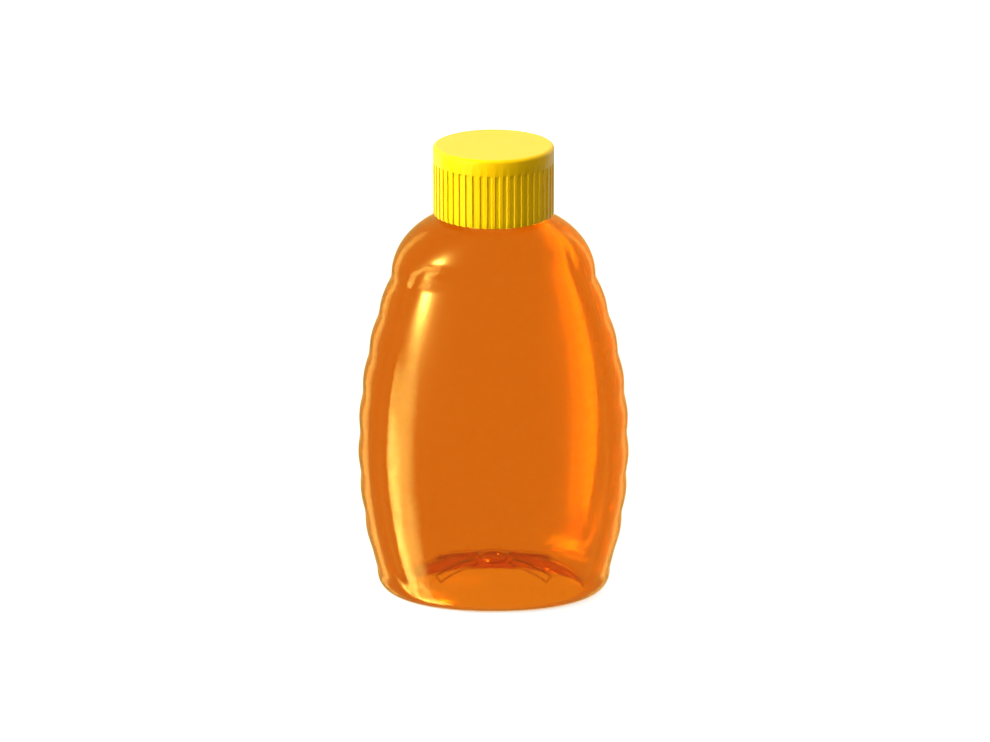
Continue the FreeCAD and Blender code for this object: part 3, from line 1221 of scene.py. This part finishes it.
@dataclass
class Cap:
    """Hollow screw cap with upright ribs below a plain band, and a plug seal inside.

    chamfer is a share of the bottom edge's rounding. Each of ledge_rows is a ring at the top of
    the gaps: its height above their end, in bottom roundings, and how much of a gap is left there.
    """

    rib_count: int = 50
    rib_depth: float = 0.6 * MM
    gap_depth: float = 0.42 * MM
    rib_band_height: float = 5.4 * MM
    top_wall: float = 1.8 * MM
    skirt_wall: float = 1.2 * MM
    edge_round: float = 1.2 * MM
    inner_edge: float = 0.5 * MM
    bottom_round: float = 0.25 * MM
    plug_radius: float = 15.45 * MM
    plug_wall: float = 1.0 * MM
    plug_depth: float = 2.0 * MM
    gap_edge: float = 0.03
    chamfer: float = 0.3
    ledge_rows: tuple[tuple[float, float], ...] = ((-0.4, 0.9), (0.0, 0.5), (0.4, 0.1), (1.0, 0.0))
    rib_steps: int = 8
    edge_steps: int = 8
    top_shares: tuple[float, ...] = (0.97, 0.75, 0.5, 0.25, 0.0)
    points_per_rib: int = 16

    def outline(self) -> list[Station]:
        """Lays rings from the middle of the ceiling, down inside, up outside and over the top.

        Returns:
            The rings, in that order.
        """
        low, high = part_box("cap")
        radius = high.x
        inner = radius - self.rib_depth - self.skirt_wall
        ceiling = high.z - self.top_wall
        plug_inner = self.plug_radius - self.plug_wall
        stations = round_stations([
            (0.0, ceiling),
            (plug_inner - self.inner_edge, ceiling),
            (plug_inner, ceiling - self.inner_edge),
            (plug_inner, ceiling - self.plug_depth),
            (self.plug_radius, ceiling - self.plug_depth),
            (self.plug_radius, ceiling),
            (inner - self.inner_edge, ceiling),
            (inner, ceiling - self.inner_edge),
            (inner, low.z + self.bottom_round),
            (inner + self.bottom_round, low.z),
        ])
        stations += self._ribbed_rings(radius, low.z, high.z - self.rib_band_height)
        return stations + self._top_rings(radius, high.z)

    def _ribbed_rings(self, radius: float, bottom: float, top: float) -> list[Station]:
        """Lays rings up the ribbed stretch, whose gaps end in a ledge under the plain band.

        Args:
            radius: Radius over the ribs.
            bottom: Height of the cap's bottom.
            top: Height where the gaps end.

        Returns:
            The rings, from the lowest up.
        """
        soft = self.bottom_round
        first, length = bottom + soft, top - bottom - 2.0 * soft
        rings = [(radius - soft, bottom, 1.0)]
        rings += [(radius - self.chamfer * soft, bottom + self.chamfer * soft, 1.0)]
        for step in range(self.rib_steps + 1):
            rings.append((radius, first + length * step / self.rib_steps, 1.0))
        rings += [(radius, top + row * soft, flute) for row, flute in self.ledge_rows]
        return [Station(size, size, level, flute=flute) for size, level, flute in rings]

    def _top_rings(self, radius: float, top: float) -> list[Station]:
        """Lays rings round the cap's top edge and in over its flat top.

        Args:
            radius: Radius of the cap.
            top: Height of its top.

        Returns:
            The rings, from the edge in.
        """
        flat = radius - self.edge_round
        turns = [QUARTER_TURN * step / self.edge_steps for step in range(self.edge_steps + 1)]
        base, edge = top - self.edge_round, self.edge_round
        rings = [(flat + edge * math.cos(turn), base + edge * math.sin(turn)) for turn in turns]
        return round_stations(rings + [(flat * share, top) for share in self.top_shares])

    def build(self, material: bpy.types.Material) -> bpy.types.Object:
        """Builds the cap as one closed skin.

        Args:
            material: The cap's plastic.

        Returns:
            The piece, riding on the root body in place of the cap node.
        """
        loft = CapLoft(self.rib_count, self.gap_depth, self.gap_edge)
        around = self.rib_count * self.points_per_rib
        rail = rail_object("cap_shell", self.outline())
        piece = grown(rail, loft.tree, {"Around": around, "Material": material})
        kept_inside(piece, "cap")
        piece.visible_shadow = False
        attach(piece, "root")
        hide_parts("cap")
        return piece


# ---------------------------------------------------------------------------------------------
# Finishes
# ---------------------------------------------------------------------------------------------

FINE_DETAIL, BROAD_DETAIL = 4.0, 2.0
FINE_HEIGHT, BROAD_HEIGHT = 0.4, 0.6
FINE_WEIGHT = 0.5
BROAD_SCALE = 0.12
NOISE_MIDDLE = 0.5
MASK_SOFTNESS = 0.02
FLANK_SOFTNESS = 0.35 * MM


def shader_group(name: str, inputs: tuple[str, ...], outputs: tuple[str, ...]) -> Graph:
    """Starts a shader group whose inputs and outputs are numbers.

    Args:
        name: Name of the group.
        inputs: Names of its inputs.
        outputs: Names of its outputs.

    Returns:
        The group's graph, without nodes.
    """
    tree = bpy.data.node_groups.new(name, "ShaderNodeTree")
    for way, sockets in (("INPUT", inputs), ("OUTPUT", outputs)):
        for socket in sockets:
            tree.interface.new_socket(socket, in_out=way, socket_type="NodeSocketFloat")
    return Graph(tree)


def moulded_surface_group() -> bpy.types.NodeTree:
    """Makes the shader group of a moulded surface: fine relief and uneven roughness.

    Returns:
        The group, with inputs for scale and roughness and outputs Roughness and Height.
    """
    inputs, outputs = ("Scale", "Roughness", "Unevenness"), ("Roughness", "Height")
    graph = shader_group("moulded surface", inputs, outputs)
    group = graph.add("NodeGroupInput")
    scale, roughness, unevenness = (Field(graph, group.outputs[name]) for name in inputs)
    place = graph.add("ShaderNodeTexCoord").outputs["Object"]
    fine, broad = (
        Field(graph, graph.join("ShaderNodeTexNoise", {"Vector": place, **grain}).outputs[0])
        for grain in (
            {"Scale": scale, "Detail": FINE_DETAIL},
            {"Scale": scale * BROAD_SCALE, "Detail": BROAD_DETAIL},
        )
    )
    uneven = (broad - NOISE_MIDDLE) + FINE_WEIGHT * (fine - NOISE_MIDDLE)
    even = (roughness + uneven * unevenness).at_least(0.0).at_most(1.0)
    height = fine * FINE_HEIGHT + broad * BROAD_HEIGHT
    graph.join("NodeGroupOutput", {"Roughness": even, "Height": height})
    return graph.tree


def over_push_up_group(body: Body) -> bpy.types.NodeTree:
    """Makes the shader group that masks the surface over the push-up.

    Args:
        body: The bottle's body.

    Returns:
        The group. Its output Mask is 1 over the push-up, and Flanks rises to 1 on the steep sides
        of the ribs and the boss.
    """
    graph = shader_group("over push-up", (), ("Mask", "Flanks"))
    x, y, z = graph.parts(graph.add("ShaderNodeTexCoord").outputs["Object"])
    width, depth = body.dome_half_sizes()
    reach = hypotenuse(x / (width + body.wall), y / (depth + body.wall))
    top = body.push_up.rise + body.push_up.boss_rise + 2.0 * body.wall
    mask = reach.inside(1.0, MASK_SOFTNESS) * z.inside(top, 0.5 * body.wall)
    rib, boss = raised_shares(body, x, y, 0.5 * body.wall, FLANK_SOFTNESS)
    # half-way up a flank a share times its rest is a quarter
    flanks = (rib * (1.0 - rib) + boss * (1.0 - boss)) * 4.0 * mask
    graph.join("NodeGroupOutput", {"Mask": mask, "Flanks": flanks})
    return graph.tree


@dataclass(frozen=True)
class Surface:
    """How a moulded surface is finished: size of its relief and how glossy and how even it is."""

    scale: float
    roughness: float
    unevenness: float
    bump: float

    def place(self, graph: Graph, group: bpy.types.NodeTree) -> tuple[Field, bpy.types.NodeSocket]:
        """Adds the finish to a material.

        Args:
            graph: The material's graph.
            group: The moulded surface group.

        Returns:
            The roughness and the normal.
        """
        node = graph.join(
            "ShaderNodeGroup",
            {"Scale": self.scale, "Roughness": self.roughness, "Unevenness": self.unevenness},
            node_tree=group,
        )
        bump = graph.join(
            "ShaderNodeBump",
            {"Height": node.outputs["Height"], "Strength": 1.0, "Distance": self.bump},
        )
        return Field(graph, node.outputs["Roughness"]), bump.outputs[0]


def new_material(finish: Finish) -> tuple[bpy.types.Material, Graph, bpy.types.Node]:
    """Makes an empty node material.

    Args:
        finish: Which finish it is.

    Returns:
        The material, its graph and its output node.
    """
    material = bpy.data.materials.new(finish.value)
    material.use_nodes = True
    material.node_tree.nodes.clear()
    graph = Graph(material.node_tree)
    return material, graph, graph.add("ShaderNodeOutputMaterial")


@dataclass(frozen=True)
class ClearWall:
    """Thin clear plastic: what lies behind shows through it, and lamps glint warm on its faces."""

    gloss: Colour = (1.0, 0.74, 0.13)
    gloss_limit: float = 0.35
    inner_gain: float = 0.2
    edge: Colour = (0.62, 0.47, 0.33)
    edge_power: float = 5.0
    index: float = 1.5
    surface: Surface = Surface(scale=60.0, roughness=0.22, unevenness=0.06, bump=0.006 * MM)

    def build(self, group: bpy.types.NodeTree) -> bpy.types.Material:
        """Builds the material.

        Args:
            group: The moulded surface group.

        Returns:
            The material.
        """
        material, graph, output = new_material(Finish.CLEAR_WALL)
        roughness, normal = self.surface.place(graph, group)
        facing = Field(graph, graph.add("ShaderNodeLayerWeight").outputs["Facing"])
        tint = graph.mixed_colours(facing**self.edge_power, WHITE, (*self.edge, 1.0))
        clear = graph.join("ShaderNodeBsdfTransparent", {"Color": tint})
        gloss = graph.join(
            "ShaderNodeBsdfAnisotropic",
            {"Color": (*self.gloss, 1.0), "Roughness": roughness, "Normal": normal},
        )
        fresnel = graph.join("ShaderNodeFresnel", {"IOR": self.index, "Normal": normal})
        back = Field(graph, graph.add("ShaderNodeNewGeometry").outputs["Backfacing"])
        inside = Field(graph, graph.add("ShaderNodeLightPath").outputs["Is Transmission Ray"])
        share = Field(graph, fresnel.outputs[0]).at_most(self.gloss_limit)
        share = share * (1.0 - back) * (1.0 + self.inner_gain * inside)
        mixed = graph.mixed_shaders(share, clear.outputs[0], gloss.outputs[0])
        graph.feed(output.inputs["Surface"], mixed)
        return material


@dataclass(frozen=True)
class HoneyFill:
    """Clear amber honey, which tints what is seen through it and lets warm light through."""

    tint: Colour = (0.65, 0.115, 0.0008)
    thin_tint: Colour = (0.84, 0.2, 0.002)
    flank_tint: Colour = (0.42, 0.03, 0.0002)
    shadow: Colour = (0.95, 0.62, 0.30)
    index: float = 1.03

    def build(self, body: Body) -> bpy.types.Material:
        """Builds the material.

        Args:
            body: The bottle's body, whose push-up thins the honey at the base.

        Returns:
            The material.
        """
        material, graph, output = new_material(Finish.HONEY)
        mask = graph.add("ShaderNodeGroup", node_tree=over_push_up_group(body))
        tint, thin, flank = (
            (*colour, 1.0) for colour in (self.tint, self.thin_tint, self.flank_tint)
        )
        tint = graph.mixed_colours(mask.outputs["Mask"], tint, thin)
        tint = graph.mixed_colours(mask.outputs["Flanks"], tint, flank)
        liquid = graph.join(
            "ShaderNodeBsdfPrincipled",
            {
                "Base Color": tint,
                "Roughness": 0.0,
                "IOR": self.index,
                "Transmission Weight": 1.0,
            },
        )
        clear = graph.join("ShaderNodeBsdfTransparent", {"Color": (*self.shadow, 1.0)})
        shaded = graph.add("ShaderNodeLightPath").outputs["Is Shadow Ray"]
        mixed = graph.mixed_shaders(shaded, liquid.outputs[0], clear.outputs[0])
        graph.feed(output.inputs["Surface"], mixed)
        return material


@dataclass(frozen=True)
class CapPlastic:
    """Bright yellow moulded plastic with a soft gloss."""

    colour: Colour = (0.96, 0.55, 0.002)
    sheen: Colour = (1.0, 0.85, 0.25)
    specular: float = 0.15
    surface: Surface = Surface(scale=420.0, roughness=0.32, unevenness=0.1, bump=0.015 * MM)

    def build(self, group: bpy.types.NodeTree) -> bpy.types.Material:
        """Builds the material.

        Args:
            group: The moulded surface group.

        Returns:
            The material.
        """
        material, graph, output = new_material(Finish.CAP_PLASTIC)
        roughness, normal = self.surface.place(graph, group)
        body = graph.join(
            "ShaderNodeBsdfPrincipled",
            {
                "Base Color": (*self.colour, 1.0),
                "Roughness": roughness,
                "Specular IOR Level": self.specular,
                "Specular Tint": (*self.sheen, 1.0),
                "Normal": normal,
            },
        )
        graph.feed(output.inputs["Surface"], body.outputs[0])
        return material


# ---------------------------------------------------------------------------------------------
# Studio
# ---------------------------------------------------------------------------------------------


def around_point(aim: Vector, azimuth: float, elevation: float, distance: float) -> Vector:
    """Finds a point around another.

    Args:
        aim: The other point.
        azimuth: Angle round it in degrees, from the camera's side, positive to the right.
        elevation: Angle above it in degrees.
        distance: Distance from it.

    Returns:
        The point.
    """
    turn, lift = math.radians(azimuth), math.radians(elevation)
    flat = distance * math.cos(lift)
    return aim + Vector((flat * math.sin(turn), -flat * math.cos(turn), distance * math.sin(lift)))


def facing_turn(place: Vector, aim: Vector) -> Euler:
    """Rotation that turns a lamp or a camera at a place to look at a point."""
    return (aim - place).to_track_quat("-Z", "Y").to_euler()


def flat_lamp(
    name: str, width: float, height: float, radiance: float, lights: bool
) -> bpy.types.Object:
    """Makes a flat lamp that the camera doesn't see.

    Args:
        name: Name of the lamp.
        width: Its width.
        height: Its height.
        radiance: How bright its face is.
        lights: Whether it lights matt surfaces. If not, it only shows in glossy ones.

    Returns:
        The lamp, linked to the scene and facing down at the origin.
    """
    light = bpy.data.lights.new(name, "AREA")
    light.shape = "RECTANGLE"
    light.size, light.size_y = width, height
    light.energy = radiance * math.pi * width * height
    lamp = bpy.data.objects.new(name, light)
    lamp.visible_camera = False
    lamp.visible_diffuse = lights
    lamp.visible_glossy = not lights
    bpy.context.scene.collection.objects.link(lamp)
    return lamp


@dataclass(frozen=True)
class Softbox:
    """Upright lamp that faces the object's axis.

    azimuth is measured in degrees from the camera, positive to the right.
    """

    name: str
    azimuth: float
    distance: float
    width: float
    bottom: float
    top: float
    radiance: float
    lights: bool = False

    def build(self) -> None:
        """Builds the lamp."""
        height = self.top - self.bottom
        lamp = flat_lamp(self.name, self.width, height, self.radiance, self.lights)
        middle = Vector((0.0, 0.0, 0.5 * (self.top + self.bottom)))
        lamp.location = around_point(middle, self.azimuth, 0.0, self.distance)
        lamp.rotation_euler = (QUARTER_TURN, 0.0, math.radians(self.azimuth))


@dataclass(frozen=True)
class TopLight:
    """Square lamp above the object that looks down at it and lights matt surfaces."""

    name: str
    azimuth: float
    elevation: float
    distance: float
    size: float
    radiance: float

    def build(self, aim: Vector) -> None:
        """Builds the lamp.

        Args:
            aim: Point that it looks at.
        """
        lamp = flat_lamp(self.name, self.size, self.size, self.radiance, True)
        lamp.location = around_point(aim, self.azimuth, self.elevation, self.distance)
        lamp.rotation_euler = facing_turn(lamp.location, aim)


@dataclass
class Studio:
    """White studio: floor, world, lamps and camera."""

    ambient: float = 0.72
    floor_size: float = 12.0
    floor_colour: Colour = (0.8, 0.8, 0.8)
    floor_glow: float = 0.7
    camera_distance: float = 1.0
    camera_elevation: float = 19.78
    camera_lens: float = 109.1
    camera_shift: float = 0.0015
    transparent_bounces: int = 24
    diffuse_bounces: int = 0
    softboxes: tuple[Softbox, ...] = (
        # name, azimuth, distance, width, bottom, top, radiance, lights
        Softbox("key_light", -68.0, 1.3, 0.8, -0.2, 1.3, 12.5, True),
        Softbox("key_softbox", -56.0, 1.3, 0.66, -3.0, -0.04, 22.0),
        Softbox("key_core", -62.0, 1.2, 0.3, -3.0, -0.2, 46.0),
        Softbox("upper_strip", -46.0, 1.2, 0.2, -0.04, 0.22, 13.0),
        Softbox("glint_strip", -44.0, 1.25, 0.1, 0.19, 0.31, 430.0),
        Softbox("left_rim", -120.0, 1.3, 0.4, -1.6, 1.0, 4.0),
        Softbox("right_rim", 128.0, 1.3, 0.3, -1.6, 1.0, 2.5),
    )
    # name, azimuth, elevation, distance, size, radiance
    top_light: TopLight = TopLight("top_light", -120.0, 76.0, 1.4, 0.6, 5.2)

    def build(self) -> None:
        """Builds the studio around the object."""
        low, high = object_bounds()
        aim = 0.5 * (low + high)
        self._floor()
        self._world()
        for softbox in self.softboxes:
            softbox.build()
        self.top_light.build(aim)
        self._camera(aim)
        scene = bpy.context.scene
        scene.view_settings.view_transform = "Standard"
        scene.cycles.sampling_pattern = "TABULATED_SOBOL"
        scene.cycles.transparent_max_bounces = self.transparent_bounces
        scene.cycles.diffuse_bounces = self.diffuse_bounces

    def _camera(self, aim: Vector) -> None:
        """Sets the camera on the object's middle.

        Args:
            aim: The middle.
        """
        data = bpy.data.cameras.new("camera")
        data.lens = self.camera_lens
        data.shift_x = self.camera_shift
        camera = bpy.data.objects.new("camera", data)
        camera.location = around_point(aim, 0.0, self.camera_elevation, self.camera_distance)
        camera.rotation_euler = facing_turn(camera.location, aim)
        bpy.context.scene.collection.objects.link(camera)
        bpy.context.scene.camera = camera

    def _floor(self) -> None:
        """Lays the pale floor, which glows a little so that it shows white and keeps the shadow."""
        half = 0.5 * self.floor_size
        mesh = bpy.data.meshes.new("floor")
        corners = [(-half, -half, 0.0), (half, -half, 0.0), (half, half, 0.0), (-half, half, 0.0)]
        mesh.from_pydata(corners, [], [(0, 1, 2, 3)])
        floor = bpy.data.objects.new("floor", mesh)
        bpy.context.scene.collection.objects.link(floor)
        material = bpy.data.materials.new("floor")
        material.use_nodes = True
        material.node_tree.nodes.clear()
        graph = Graph(material.node_tree)
        pale = graph.join("ShaderNodeBsdfDiffuse", {"Color": (*self.floor_colour, 1.0)})
        strength = self._seen_directly(graph) * self.floor_glow
        glow = graph.join("ShaderNodeEmission", {"Color": WHITE, "Strength": strength})
        total = graph.add("ShaderNodeAddShader")
        graph.feed(total.inputs[0], pale.outputs[0])
        graph.feed(total.inputs[1], glow.outputs[0])
        graph.join("ShaderNodeOutputMaterial", {"Surface": total.outputs[0]})
        mesh.materials.append(material)
        floor.visible_glossy = False
        floor.visible_transmission = False
        floor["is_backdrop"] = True

    def _seen_directly(self, graph: Graph) -> Field:
        """Tells rays that show things from light that falls on them.

        Args:
            graph: The graph of the material or the world.

        Returns:
            1 for what the camera, gloss and glass show, and 0 for other light.
        """
        path = graph.add("ShaderNodeLightPath")
        kinds = ("Camera", "Glossy", "Transmission")
        camera, glossy, glass = (Field(graph, path.outputs[f"Is {kind} Ray"]) for kind in kinds)
        return camera.at_least(glossy).at_least(glass)

    def _world(self) -> None:
        """Makes the world white to look at and softer as light."""
        world = bpy.data.worlds.new("studio")
        world.use_nodes = True
        world.node_tree.nodes.clear()
        graph = Graph(world.node_tree)
        strength = self._seen_directly(graph) * (1.0 - self.ambient) + self.ambient
        background = graph.join("ShaderNodeBackground", {"Color": WHITE, "Strength": strength})
        graph.join("ShaderNodeOutputWorld", {"Surface": background.outputs[0]})
        bpy.context.scene.world = world


def report(piece: bpy.types.Object) -> None:
    """Logs a finished piece's name, triangles and size.

    Args:
        piece: The piece.
    """
    triangles = sum(len(polygon.vertices) - 2 for polygon in piece.data.polygons)
    size = ", ".join(f"{length / MM:.1f}" for length in piece.dimensions)
    log.info("%s: %d triangles, %s mm", piece.name, triangles, size)


def main() -> None:
    """Builds the bottle, its honey and its cap, dresses them and lights the scene."""
    logging.basicConfig(level=logging.INFO, format="%(name)s %(message)s")
    moulded = moulded_surface_group()
    body = Body()
    loft = BodyLoft(body)
    clear = ClearWall().build(moulded)
    report(Bottle(body).build(loft, clear))
    report(NeckThread().build(clear))
    report(Honey(body).build(loft, HoneyFill().build(body)))
    report(Cap().build(CapPlastic().build(moulded)))
    Studio().build()


if __name__ == "__main__":
    main()
